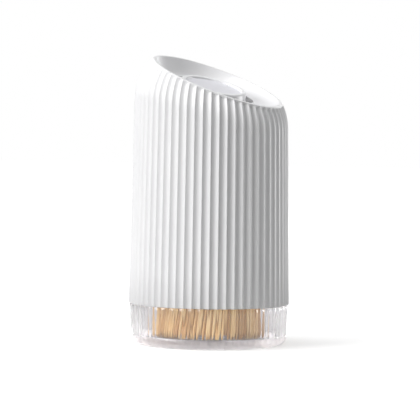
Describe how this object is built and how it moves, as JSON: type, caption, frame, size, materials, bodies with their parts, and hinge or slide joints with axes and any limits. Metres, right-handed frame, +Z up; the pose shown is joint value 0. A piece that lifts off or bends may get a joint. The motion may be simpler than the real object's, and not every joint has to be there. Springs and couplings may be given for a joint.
{
  "type": "toothpick dispenser",
  "caption": "Upright fluted toothpick dispenser with a slanted mouth, a press button on a spring-lifted core and a clear cup that lifts off for refilling.",
  "frame": {"origin": "on the table, under the middle of the cup", "axes": "+Z up, the low side of the slanted mouth towards +X"},
  "size_m": [0.05, 0.05, 0.09],
  "materials": {
    "shell_white": "fine satin, moulded flutes",
    "bowl_white": "smooth satin",
    "disc_white": "smooth satin",
    "core_white": "plain moulded",
    "clear_cup": "clear polished",
    "clear_tray": "clear polished",
    "steel": "plain",
    "spring_steel": "drawn wire",
    "acetal": "natural",
    "bamboo": "dry split bamboo"
  },
  "bodies": {
    "base": {"base_cup": "clear_cup", "guide_post": "core_white", "post_screw": "steel", "latch_cam": "acetal", "lift_spring": "spring_steel"},
    "core": {"button_cap": "bowl_white", "button_disc": "disc_white", "cap_screw": "steel", "column_plug": "core_white", "lift_column": "core_white", "lift_tray": "clear_tray", "tray_clip": "steel", "follower_pivot": "steel", "toothpicks_1": "bamboo", "toothpicks_2": "bamboo", "toothpicks_3": "bamboo", "toothpicks_4": "bamboo", "toothpicks_5": "bamboo", "toothpicks_6": "bamboo"},
    "follower": {"latch_follower": "steel"},
    "shell": {"outer_shell": "shell_white", "bowl_liner": "bowl_white"}
  },
  "joints": [
    {"name": "core_lift", "type": "slide", "parent": "base", "child": "core", "axis": [0, 0, 1], "range_m": [-0.0007, 0.02], "deforming": ["lift_spring"]},
    {"name": "latch_swing", "type": "hinge", "parent": "core", "child": "follower", "pos_m": [0, 0.0033, 0.05], "axis": [0, -1, 0], "range_deg": [0, 4.1]},
    {"name": "shell_lift", "type": "slide", "parent": "base", "child": "shell", "axis": [0, 0, 1], "range_m": [0, 0.085]}
  ]
}
